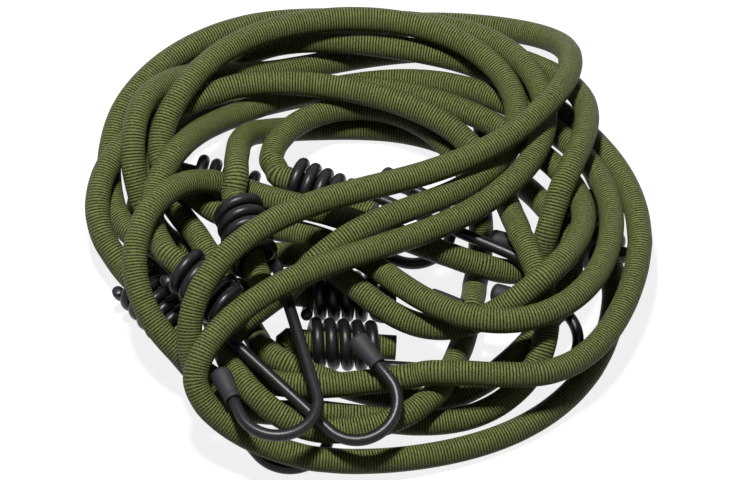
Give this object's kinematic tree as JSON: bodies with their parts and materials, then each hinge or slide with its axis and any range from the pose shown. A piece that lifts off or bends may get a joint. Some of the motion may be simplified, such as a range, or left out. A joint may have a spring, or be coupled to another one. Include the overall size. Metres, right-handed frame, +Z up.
{
  "type": "bungee cord set",
  "caption": "Elastic bungee cords with olive woven covers and coated wire hooks wound on their ends, lying in a loose oval tangle.",
  "frame": {"origin": "on the surface the pile lies on, under the middle of its bounding box", "axes": "+Z up from the surface, +Y away from the viewer of the picture along the longest side, +X to the viewer's right"},
  "size_m": [0.1818, 0.1848, 0.0485],
  "materials": {
    "cord_cover": "fine cross-ribbed woven cover with a silky sheen",
    "hook_coating": "black dipped coating, satin",
    "tip_rubber": "dark grey moulded cap, matt"
  },
  "bodies": {
    "cords": {"cord_1": "cord_cover", "cord_2": "cord_cover", "cord_3": "cord_cover", "cord_4": "cord_cover"},
    "hook_1a": {"hook_1a": "hook_coating", "cap_1a": "tip_rubber"},
    "hook_1b": {"hook_1b": "hook_coating", "cap_1b": "tip_rubber"},
    "hook_2a": {"hook_2a": "hook_coating", "cap_2a": "tip_rubber"},
    "hook_2b": {"hook_2b": "hook_coating", "cap_2b": "tip_rubber"},
    "hook_3a": {"hook_3a": "hook_coating", "cap_3a": "tip_rubber"},
    "hook_3b": {"hook_3b": "hook_coating", "cap_3b": "tip_rubber"},
    "hook_4a": {"hook_4a": "hook_coating", "cap_4a": "tip_rubber"},
    "hook_4b": {"hook_4b": "hook_coating", "cap_4b": "tip_rubber"}
  },
  "joints": [
    {"name": "hook_1a_swivel", "type": "hinge", "parent": "cords", "child": "hook_1a", "pos_m": [-0.04167, -0.00506, 0.029], "axis": [0.2588, -0.9659, -0.0087], "range_deg": [-4, 4]},
    {"name": "hook_1b_swivel", "type": "hinge", "parent": "cords", "child": "hook_1b", "pos_m": [-0.07517, -0.01956, 0.0098], "axis": [0.6135, -0.7852, -0.0837], "range_deg": [-2, 0]},
    {"name": "hook_2a_swivel", "type": "hinge", "parent": "cords", "child": "hook_2a", "pos_m": [-0.05967, -0.02706, 0.029], "axis": [0.7039, -0.7039, -0.0958], "range_deg": [-2, 4]},
    {"name": "hook_2b_swivel", "type": "hinge", "parent": "cords", "child": "hook_2b", "pos_m": [-0.01967, -0.04356, 0.01], "axis": [0.9978, -0.0348, -0.0558], "range_deg": [-2, 3]},
    {"name": "hook_3a_swivel", "type": "hinge", "parent": "cords", "child": "hook_3a", "pos_m": [0.07633, -0.01006, 0.0096], "axis": [-0.3083, 0.9487, -0.0698], "range_deg": [-6, 1]},
    {"name": "hook_3b_swivel", "type": "hinge", "parent": "cords", "child": "hook_3b", "pos_m": [-0.01967, -0.02506, 0.0098], "axis": [0.9974, 0, -0.0715], "range_deg": [-3, 2]},
    {"name": "hook_4a_swivel", "type": "hinge", "parent": "cords", "child": "hook_4a", "pos_m": [-0.02367, 0.01294, 0.019], "axis": [0.891, -0.454, -0.0087], "range_deg": [-5, 1]},
    {"name": "hook_4b_swivel", "type": "hinge", "parent": "cords", "child": "hook_4b", "pos_m": [-0.05767, 0.02144, 0.0098], "axis": [0.9483, -0.3081, -0.0767], "range_deg": [-3, 20]}
  ]
}
